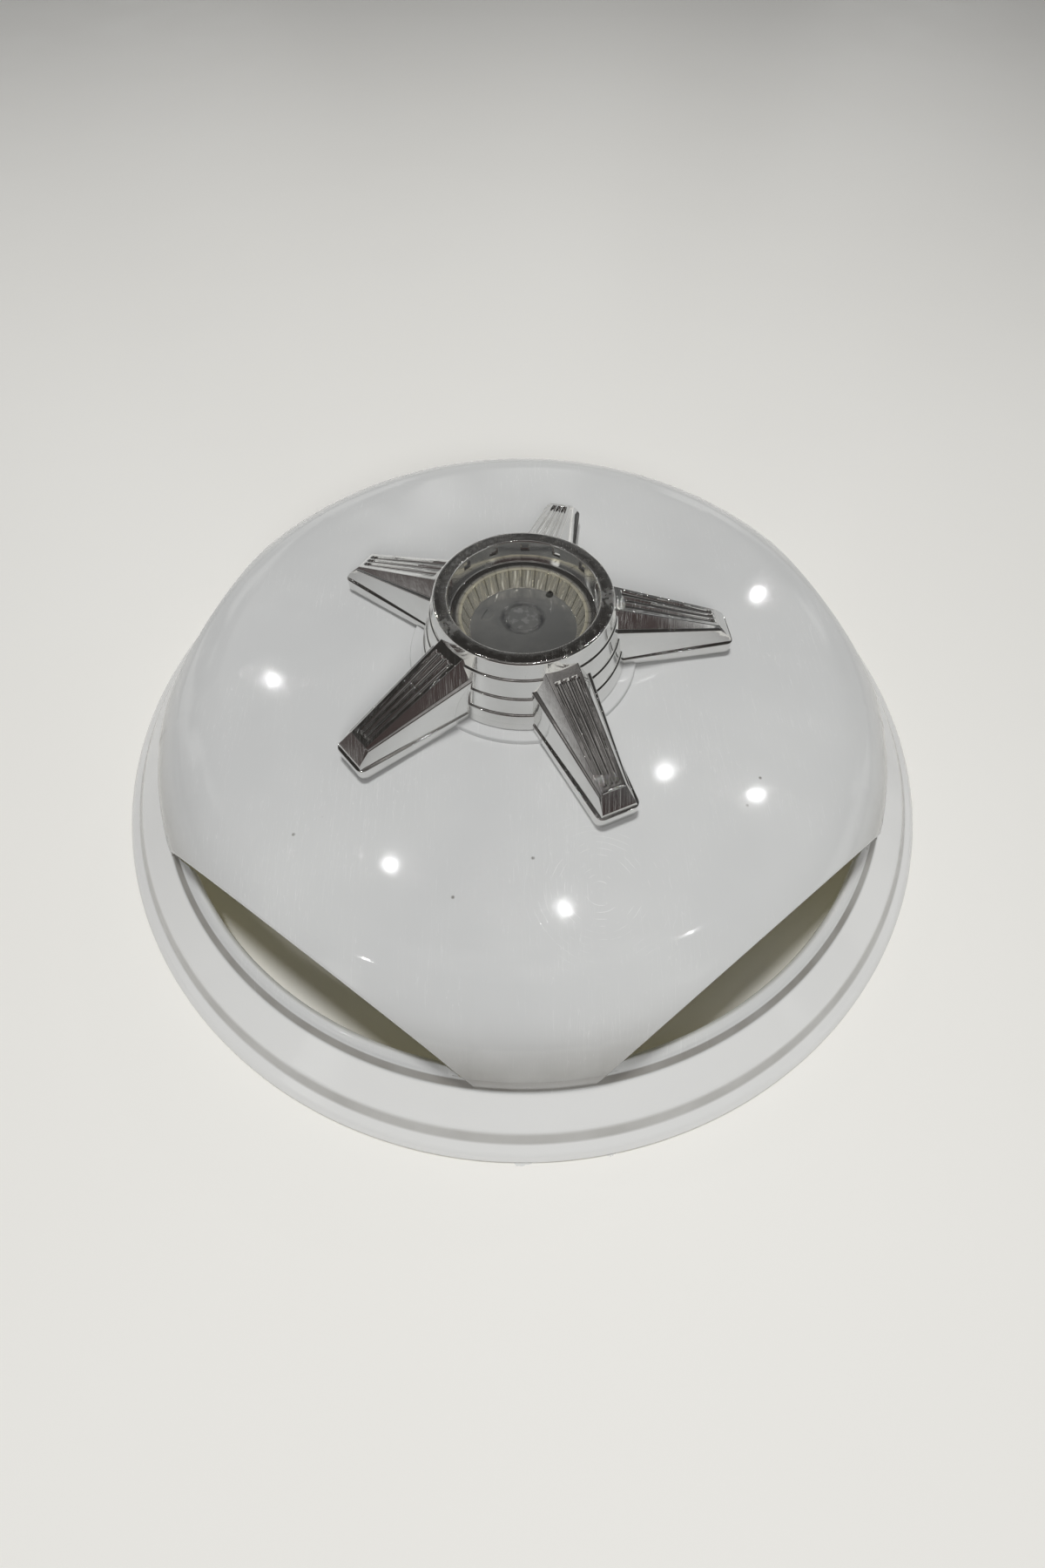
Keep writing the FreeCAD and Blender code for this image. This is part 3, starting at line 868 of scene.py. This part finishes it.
class Nodes:
    """Short way to write a node tree."""

    def __init__(self, owner, shader="Principled BSDF", coords="Object"):
        owner.use_nodes = True
        self.owner = owner
        self.tree = owner.node_tree
        self.shader = self.tree.nodes[shader]
        self.coords = self.tree.nodes.new("ShaderNodeTexCoord").outputs[coords]

    def put(self, socket, value):
        if isinstance(value, bpy.types.NodeSocket):
            self.tree.links.new(value, socket)
        else:
            socket.default_value = value

    def mapped(self, scale, turn=(0.0, 0.0, 0.0)):
        node = self.tree.nodes.new("ShaderNodeMapping")
        self.put(node.inputs["Vector"], self.coords)
        node.inputs["Scale"].default_value = scale
        node.inputs["Rotation"].default_value = turn
        return node.outputs["Vector"]

    def noise(self, scale, detail=3.0, vector=None, rough=0.5):
        node = self.tree.nodes.new("ShaderNodeTexNoise")
        self.put(node.inputs["Vector"], vector or self.coords)
        node.inputs["Scale"].default_value = scale
        node.inputs["Detail"].default_value = detail
        node.inputs["Roughness"].default_value = rough
        return node.outputs["Fac"]

    def cells(self, scale):
        node = self.tree.nodes.new("ShaderNodeTexVoronoi")
        self.put(node.inputs["Vector"], self.coords)
        node.inputs["Scale"].default_value = scale
        return node.outputs["Distance"]

    def range(self, value, low, high, out_low, out_high):
        node = self.tree.nodes.new("ShaderNodeMapRange")
        node.clamp = True
        self.put(node.inputs["Value"], value)
        self.put(node.inputs["From Min"], low)
        self.put(node.inputs["From Max"], high)
        self.put(node.inputs["To Min"], out_low)
        self.put(node.inputs["To Max"], out_high)
        return node.outputs["Result"]

    def rise(self, value, low, high, top=1.0):
        """0 below low and top above high."""
        return self.range(value, low, high, 0.0, top)

    def fall(self, value, low, high, top=1.0):
        """top below low and 0 above high."""
        return self.range(value, low, high, top, 0.0)

    def math(self, kind, a, b=0.0):
        node = self.tree.nodes.new("ShaderNodeMath")
        node.operation = kind
        self.put(node.inputs[0], a)
        self.put(node.inputs[1], b)
        return node.outputs["Value"]

    def times(self, a, b):
        return self.math("MULTIPLY", a, b)

    def plus(self, a, b):
        return self.math("ADD", a, b)

    def most(self, a, b):
        return self.math("MAXIMUM", a, b)

    def size(self, a):
        return self.math("ABSOLUTE", a)

    def distance(self, point):
        node = self.tree.nodes.new("ShaderNodeVectorMath")
        node.operation = "DISTANCE"
        self.put(node.inputs[0], self.coords)
        node.inputs[1].default_value = point
        return node.outputs["Value"]

    def split(self):
        node = self.tree.nodes.new("ShaderNodeSeparateXYZ")
        self.put(node.inputs["Vector"], self.coords)
        return node.outputs["X"], node.outputs["Y"], node.outputs["Z"]

    def radius_and_height(self):
        """Distance from the Z axis and height above the floor, in millimetres."""
        x, y, z = self.split()
        radius = self.math("SQRT", self.plus(self.times(x, x), self.times(y, y)))
        return self.math("DIVIDE", radius, MM), self.math("DIVIDE", z, MM)

    def mix(self, fac, a, b):
        node = self.tree.nodes.new("ShaderNodeMix")
        node.data_type = "RGBA"
        self.put(node.inputs["Factor"], fac)
        self.put(node.inputs["A"], a)
        self.put(node.inputs["B"], b)
        return node.outputs["Result"]

    def bump(self, height, distance, strength=1.0):
        node = self.tree.nodes.new("ShaderNodeBump")
        self.put(node.inputs["Height"], height)
        node.inputs["Distance"].default_value = distance
        node.inputs["Strength"].default_value = strength
        return node.outputs["Normal"]

    def set(self, name, value):
        self.put(self.shader.inputs[name], value)


def scratches(n, turns, across, along, thin):
    """Fine straight scratches in several directions: 1 on a scratch, 0 off it."""
    total = 0.0
    for turn in turns:
        vector = n.mapped((across, along, along), (0.0, 0.0, math.radians(turn)))
        line = n.noise(1.0, 2.0, vector)
        on = n.fall(n.size(n.math("SUBTRACT", line, 0.5)), 0.0, thin)
        patch = n.rise(n.noise(22.0 + turn * 0.1, 2.0), 0.5, 0.68)
        total = n.most(total, n.times(on, patch))
    return total


def swirl(n, middle):
    """Patch of fine round scratches about a point: 1 on a scratch, 0 off it."""
    rings_per_metre = 2600.0
    away = n.distance(middle)
    wobble = n.times(n.noise(40.0, 3.0), 14.0)
    wave = n.math("SINE", n.plus(n.times(away, rings_per_metre), wobble))
    line = n.rise(wave, 0.93, 1.0)
    broken = n.rise(n.noise(160.0, 2.0), 0.5, 0.62)
    patch = n.fall(away, 6.0 * MM, 34.0 * MM)
    return n.times(n.times(line, broken), patch)


def inside_plastic_painted_shade():
    """The unpolished inside of the cover, dark olive as painted shade, blotched at random."""
    # Both tones are dark olive painted shade; a random blotch mixes them
    pale = (0.42, 0.40, 0.29, 1.0)
    darker_painted_shade = (0.30, 0.28, 0.19, 1.0)
    n = Nodes(bpy.data.materials.new("white_plastic_inside_painted_shade"))
    blotch = n.noise(35.0, 5.0)
    n.set("Base Color", n.mix(n.rise(blotch, 0.35, 0.7), pale, darker_painted_shade))
    n.set("Roughness", n.range(blotch, 0.3, 0.7, 0.45, 0.7))
    n.set("Normal", n.bump(n.noise(500.0, 3.0), 0.0002, 0.3))
    return n.owner


def paint_inside(piece, material):
    """Gives the faces that look down or inward the dull, dark olive painted shade of the inside."""
    looks_down = -0.05
    looks_in = 0.3
    ring_edge = 2.0
    skirt_in = 1.0
    piece.data.materials.append(material)
    for poly in piece.data.polygons:
        x, y = (poly.center / MM).xy
        r = math.hypot(x, y)
        inward = -(poly.normal.x * x + poly.normal.y * y) / max(r, 1.0)
        behind_land = inward > looks_in and SLOT_R + ring_edge < r < SKIRT_R - skirt_in
        if poly.normal.z < looks_down or behind_land:
            poly.material_index = 1


def land_painted_shade(n):
    """How much painted shade darkens the foot of the lands and the corner below them, 0 to 1."""
    grow_r = (148.0, 158.0)
    fade_z = (20.0, 50.0)
    most_on_skirt = 0.85
    most_in_corner = 0.8
    radius, height = n.radius_and_height()
    bead_top = RING_FOOT_Z + BEAD_H + BEAD_RISE
    # Painted shade on the lower skirt of each land
    on_skirt = n.times(n.rise(height, bead_top + 0.3, bead_top + 0.7), n.rise(radius, *grow_r))
    on_skirt = n.times(on_skirt, n.fall(height, *fade_z, most_on_skirt))
    # Painted shade in the corner where a land meets the ring
    corner_in = n.rise(radius, SKIRT_R - 2.0, SKIRT_R - 1.6, most_in_corner)
    corner_out = n.fall(radius, SKIRT_R + 0.4, SKIRT_R + 1.0)
    return n.most(on_skirt, n.times(corner_in, corner_out))


def step_painted_shade(n):
    """How much painted shade darkens the step inside the lip, 0 to 1."""
    radius = n.radius_and_height()[0]
    # Painted shade on the step's slope
    step_in = n.rise(radius, STEP_TOP_R - 0.8, STEP_TOP_R + 0.2, 0.5)
    step_out = n.fall(radius, LIP_IN_R - 0.2, LIP_IN_R + 0.6)
    return n.times(step_in, step_out)


def white_plastic():
    """Glossy white plastic with specks and scratches; the ring is painted whiter as painted light, and
    painted shade darkens the foot of the lands, the corner below them and the step.
    """
    pale = (0.60, 0.605, 0.60, 1.0)
    paler = (0.66, 0.665, 0.655, 1.0)
    ring_painted_light = (0.78, 0.78, 0.765, 1.0)
    scratch_white = (0.84, 0.84, 0.83, 1.0)
    speck_dark = (0.12, 0.11, 0.09, 1.0)
    # Brown of the painted shade at the land feet and on the step
    painted_shade_brown = (0.17, 0.155, 0.13, 1.0)
    n = Nodes(bpy.data.materials.new("white_plastic_gloss"))
    base = n.mix(n.rise(n.noise(9.0, 4.0), 0.35, 0.65), pale, paler)
    specks = n.times(n.fall(n.cells(55.0), 0.0, 0.045), n.rise(n.noise(17.0, 1.0), 0.56, 0.6))
    for pixel in SPECKS:
        specks = n.most(specks, n.fall(n.distance(dome_spot(pixel)), 0.3 * MM, 0.8 * MM))
    base = n.mix(n.times(specks, 0.75), base, speck_dark)
    scratch = n.times(scratches(n, (12.0, 48.0, 95.0, 140.0), 700.0, 26.0, 0.006), 0.6)
    scratch = n.most(scratch, swirl(n, dome_spot(SWIRL)))
    base = n.mix(n.times(scratch, 0.9), base, scratch_white)
    radius = n.radius_and_height()[0]
    # Painted light: the ring outside the lands is painted whiter than the dome
    base = n.mix(n.rise(radius, SKIRT_R + 0.8, SKIRT_R + 1.6), base, ring_painted_light)
    # Painted shade at the land feet, in the corner below them and on the step, with a random strength
    painted_shade = n.most(land_painted_shade(n), step_painted_shade(n))
    painted_shade = n.times(painted_shade, n.range(n.noise(50.0, 4.0), 0.25, 0.7, 0.7, 1.0))
    n.set("Base Color", n.mix(painted_shade, base, painted_shade_brown))
    rough = n.range(n.noise(30.0, 5.0), 0.3, 0.7, 0.06, 0.095)
    n.set("Roughness", n.plus(rough, n.times(scratch, 0.2)))
    relief = n.plus(n.times(n.noise(26.0, 2.0), 0.6), n.times(n.noise(900.0, 2.0), 0.02))
    relief = n.math("SUBTRACT", relief, n.times(scratch, 0.04))
    n.set("Normal", n.bump(relief, 0.0004, 0.5))
    n.set("IOR", 1.5)
    return n.owner


def cup_masks(n):
    """Masks of the cup's inside, fluted wall, floor, ledge edge and bore: 1 on it, 0 off it."""
    radius, height = n.radius_and_height()
    inside = n.fall(radius, LEDGE_R + 1.6, LEDGE_R + 2.6)
    inside = n.times(inside, n.fall(height, LEDGE_Z - 0.1, LEDGE_Z + 0.6))
    floor = n.times(inside, n.fall(height, FLOOR_Z + 0.1, FLOOR_Z + 0.5))
    wall = n.math("SUBTRACT", inside, floor)
    ledge = n.rise(radius, LEDGE_R - 0.3, LEDGE_R + 0.1)
    ledge = n.times(ledge, n.fall(radius, LEDGE_R + 0.9, LEDGE_R + 1.5))
    ledge = n.times(ledge, n.rise(height, LEDGE_Z - 0.9, LEDGE_Z - 0.4))
    ledge = n.times(ledge, n.fall(height, LEDGE_Z + 0.1, LEDGE_Z + 0.4))
    bore = n.fall(radius, BORE_R + 0.75, BORE_R + 1.05)
    bore = n.times(bore, n.rise(height, LEDGE_Z - 0.1, LEDGE_Z + 0.4))
    return inside, wall, floor, ledge, bore


def gate_tint(n, tint, floor):
    """Colour of the cup with the gate mark's broken dark ring and pale flecks on its floor."""
    pale = (0.45, 0.45, 0.44, 1.0)
    dark = (0.03, 0.03, 0.035, 1.0)
    ring_r = (GATE_R - GATE_W / 2) * MM
    off = n.math("SUBTRACT", n.distance((0.0, GATE_SHIFT * MM, FLOOR_Z * MM)), ring_r)
    off = n.plus(off, n.range(n.noise(300.0, 3.0), 0.3, 0.7, -0.7 * MM, 0.7 * MM))
    ring = n.fall(n.size(off), 0.2 * MM, 1.7 * MM, 0.75)
    ring = n.times(ring, n.range(n.noise(150.0, 3.0), 0.35, 0.65, 0.2, 1.0))
    fleck = n.times(n.fall(off, -2.0 * MM, 0.0), n.rise(n.noise(380.0, 4.0), 0.5, 0.62, 0.45))
    tint = n.mix(n.times(fleck, floor), tint, pale)
    return n.mix(n.times(ring, floor), tint, dark)


def drain_shade_mask(n):
    """Mask of the painted shade in the drain hole at the floor's edge: 1 in it, 0 off it."""
    r = DRAIN_AT[0] - 0.6
    place = (r * math.cos(DRAIN_AT[1]), r * math.sin(DRAIN_AT[1]), FLOOR_Z + 0.3)
    return n.fall(n.distance(tuple(c * MM for c in place)), 1.4 * MM, 1.8 * MM)


def scuff_mask(n):
    """Mask of the dulled spots on the cup's top ring: 1 on one, 0 off it."""
    total = 0.0
    for x, y in SCUFFS:
        near = n.fall(n.distance((x * MM, y * MM, CUP_Z * MM)), 2.0 * MM, 6.0 * MM)
        grain = n.range(n.noise(700.0, 4.0), 0.4, 0.6, 0.2, 1.0)
        total = n.most(total, n.times(near, grain))
    return total


def chrome():
    """Bright plating, worn on the cup's top ring and yellow in the cup, with painted shade in the flute
    creases and the drain hole, and dull on its floor with a painted dark reflection.
    """
    clean = (0.83, 0.83, 0.82, 1.0)
    cup_yellow = (0.93, 0.89, 0.74, 1.0)
    edge_yellow = (0.95, 0.87, 0.58, 1.0)
    painted_crease_shade = (0.07, 0.06, 0.04, 1.0)
    cup_floor_painted_reflection = (0.15, 0.155, 0.16, 1.0)
    drain_painted_shade = (0.004, 0.004, 0.004, 1.0)
    worn = (0.52, 0.50, 0.46, 1.0)
    filmed = (0.55, 0.54, 0.50, 1.0)
    n = Nodes(bpy.data.materials.new("plated_plastic_bright"))
    x, y, z = n.split()
    inside, wall, floor, ledge, bore = cup_masks(n)
    # Yellower plating inside the cup
    tint = n.mix(n.times(inside, 0.75), clean, cup_yellow)
    # Painted shade: dark lines in the sharp creases between the flutes of the lower wall
    flute_crease = n.math("SINE", n.times(n.math("ARCTAN2", y, x), FLUTES / 2))
    flute_crease = n.fall(n.size(flute_crease), 0.04, 0.22, 0.75)
    tint = n.mix(n.times(flute_crease, wall), tint, painted_crease_shade)
    tint = n.mix(n.times(ledge, 0.45), tint, edge_yellow)
    # Painted reflection: the cup's floor painted dark grey
    tint = n.mix(n.times(floor, 0.9), tint, cup_floor_painted_reflection)
    tint = gate_tint(n, tint, floor)
    # Painted shade: the drain hole painted black
    tint = n.mix(drain_shade_mask(n), tint, drain_painted_shade)
    on_top = n.rise(z, (CUP_Z - 0.4) * MM, (CUP_Z - 0.1) * MM)
    mottle = n.times(on_top, n.rise(n.noise(380.0, 5.0), 0.42, 0.68, 0.55))
    tint = n.mix(mottle, tint, worn)
    film = n.rise(n.noise(60.0, 5.0), 0.45, 0.75, 0.25)
    n.set("Base Color", n.mix(film, tint, filmed))
    thin = n.most(n.times(bore, 0.04), n.times(inside, 0.22))
    thin = n.most(thin, n.times(floor, 0.5))
    thin = n.most(thin, n.times(ledge, 0.3))
    n.set("Metallic", n.math("SUBTRACT", 1.0, thin))
    scratch = scratches(n, (25.0, 80.0, 135.0), 1600.0, 30.0, 0.012)
    rough = n.range(n.noise(45.0, 5.0), 0.3, 0.75, 0.03, 0.09)
    rough = n.plus(rough, n.times(scuff_mask(n), 0.4))
    rough = n.plus(rough, n.times(mottle, 0.45))
    rough = n.plus(rough, n.times(scratch, 0.2))
    n.set("Roughness", n.plus(rough, n.times(inside, 0.03)))
    relief = n.plus(n.noise(120.0, 3.0), n.times(scratch, -0.15))
    n.set("Normal", n.bump(relief, 0.00025, 0.25))
    return n.owner


def zinc():
    """Worn zinc of the screws."""
    bright = (0.52, 0.52, 0.50, 1.0)
    brown = (0.38, 0.36, 0.30, 1.0)
    n = Nodes(bpy.data.materials.new("zinc_screw_worn"))
    patch = n.noise(700.0, 4.0)
    n.set("Base Color", n.mix(n.rise(patch, 0.4, 0.65), bright, brown))
    n.set("Metallic", 1.0)
    n.set("Roughness", n.range(patch, 0.3, 0.7, 0.28, 0.5))
    n.set("Normal", n.bump(patch, 0.0001, 0.4))
    return n.owner


def floor_material():
    """Pale floor that only shows from above and lets the light below it through."""
    pale = (0.92, 0.905, 0.86, 1.0)
    paler = (0.95, 0.94, 0.90, 1.0)
    n = Nodes(bpy.data.materials.new("pale_floor"))
    n.set("Base Color", n.mix(n.noise(3.0, 4.0), pale, paler))
    n.set("Roughness", n.range(n.noise(14.0, 4.0), 0.3, 0.7, 0.36, 0.42))
    n.set("Normal", n.bump(n.noise(60.0, 3.0), 0.0002, 0.05))
    below = n.tree.nodes.new("ShaderNodeNewGeometry").outputs["Backfacing"]
    to_lamp = n.tree.nodes.new("ShaderNodeLightPath").outputs["Is Shadow Ray"]
    clear = n.tree.nodes.new("ShaderNodeBsdfTransparent")
    blend = n.tree.nodes.new("ShaderNodeMixShader")
    n.put(blend.inputs[0], n.most(below, to_lamp))
    n.put(blend.inputs[1], n.shader.outputs["BSDF"])
    n.put(blend.inputs[2], clear.outputs["BSDF"])
    n.put(n.tree.nodes["Material Output"].inputs["Surface"], blend.outputs["Shader"])
    return n.owner


# Stage

def add_floor():
    """Square floor, wide enough for every view."""
    size = 6.0
    corners = [(-size, -size, 0.0), (size, -size, 0.0), (size, size, 0.0), (-size, size, 0.0)]
    mesh = bpy.data.meshes.new("floor")
    mesh.from_pydata(corners, [], [(0, 1, 2, 3)])
    mesh.materials.append(floor_material())
    floor = bpy.data.objects.new("floor", mesh)
    bpy.context.scene.collection.objects.link(floor)


def add_area(name, place, size, watts, aim, in_gloss):
    """Round area lamp that points at a place; in_gloss shows it in what is mirrored."""
    data = bpy.data.lights.new(name, "AREA")
    data.shape = "DISK"
    data.size = size
    data.energy = watts
    lamp = bpy.data.objects.new(name, data)
    lamp.location = place
    away = lamp.location - Vector(aim)
    lamp.rotation_euler = away.to_track_quat("Z", "Y").to_euler()
    lamp.visible_glossy = in_gloss
    bpy.context.scene.collection.objects.link(lamp)


def add_lights():
    """Soft lamps above, in front and below the floor, and small ones that the dome mirrors."""
    middle = (0.0, 0.0, 0.04)
    dome_top = (0.0, 0.0, 0.06)
    add_area("key", (-0.1, 0.36, 1.9), 0.3, 19.0, middle, False)
    add_area("front", (0.1, -1.3, 1.0), 0.5, 9.0, middle, False)
    add_area("below", (0.0, 0.0, -0.8), 0.8, 2.0, middle, False)
    for number, glint in enumerate(GLINTS):
        add_area("lamp_%d" % number, lamp_place(glint), LAMP_SIZE, LAMP_WATTS, dome_top, True)


def add_world():
    """Room that the gloss mirrors: pale horizon, lit panels, dark ceiling; white behind the object."""
    horizon = (0.55, 0.55, 0.54, 1.0)
    walls = (0.10, 0.10, 0.10, 1.0)
    ceiling = (0.03, 0.028, 0.026, 1.0)
    panel = (0.80, 0.80, 0.78, 1.0)
    skylight = (0.42, 0.40, 0.39, 1.0)
    shade = (0.045, 0.03, 0.028, 1.0)
    ambient = (0.08, 0.08, 0.08, 1.0)
    white = (1.0, 1.0, 1.0, 1.0)
    n = Nodes(bpy.data.worlds.new("studio"), "Background", "Generated")
    x, y, z = n.split()
    room = n.mix(n.rise(z, 0.0, 0.35), horizon, walls)
    room = n.mix(n.rise(z, 0.4, 0.72), room, ceiling)
    panels = n.times(n.rise(n.noise(3.2, 2.0), 0.52, 0.62), n.fall(z, 0.5, 0.72))
    room = n.mix(panels, room, panel)
    overhead = n.times(n.rise(z, 0.91, 0.96), n.range(n.noise(8.0, 3.0), 0.42, 0.6, 0.15, 1.0))
    room = n.mix(overhead, room, skylight)
    viewer = n.times(n.fall(y, -0.70, -0.63), n.rise(z, -0.1, 0.0, 0.9))
    dark_side = n.times(n.fall(x, -0.97, -0.86), n.rise(z, 0.0, 0.1, 0.85))
    room = n.mix(n.most(viewer, dark_side), room, shade)
    path = n.tree.nodes.new("ShaderNodeLightPath")
    seen = n.mix(path.outputs["Is Glossy Ray"], ambient, room)
    seen = n.mix(path.outputs["Is Camera Ray"], seen, white)
    n.set("Color", seen)
    bpy.context.scene.world = n.owner


def add_camera():
    """Camera above and in front of the cover, as near to it as the photograph's lens shows."""
    turn = math.radians(-1.8)
    back = 0.1852
    height = 0.2699
    down = math.radians(60.34)
    roll = math.radians(0.295)
    data = bpy.data.cameras.new("camera")
    data.sensor_fit = "VERTICAL"
    data.sensor_height = 36.0
    data.lens = 14.8
    data.clip_start = 0.01
    camera = bpy.data.objects.new("camera", data)
    camera.location = (back * math.sin(turn), -back * math.cos(turn), height)
    camera.rotation_euler = (math.pi / 2 - down, 0.0, turn)
    camera.rotation_mode = "QUATERNION"
    spin = Quaternion((0.0, 0.0, 1.0), roll)
    camera.rotation_quaternion = camera.rotation_quaternion @ spin
    bpy.context.scene.collection.objects.link(camera)
    bpy.context.scene.camera = camera


add_camera()
cover = add_piece("cover_skin", cover_shell(), white_plastic())
paint_inside(cover, inside_plastic_painted_shade())
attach(cover, "root")
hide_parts("wheel_cover")
star = add_piece("star_skin", star_shell(), chrome())
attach(star, "root")
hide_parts("star_trim")
screw_finish = zinc()
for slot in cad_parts["star_screws"].material_slots:
    slot.material = screw_finish

add_floor()
add_world()
add_lights()
bpy.context.scene.view_settings.view_transform = "Standard"
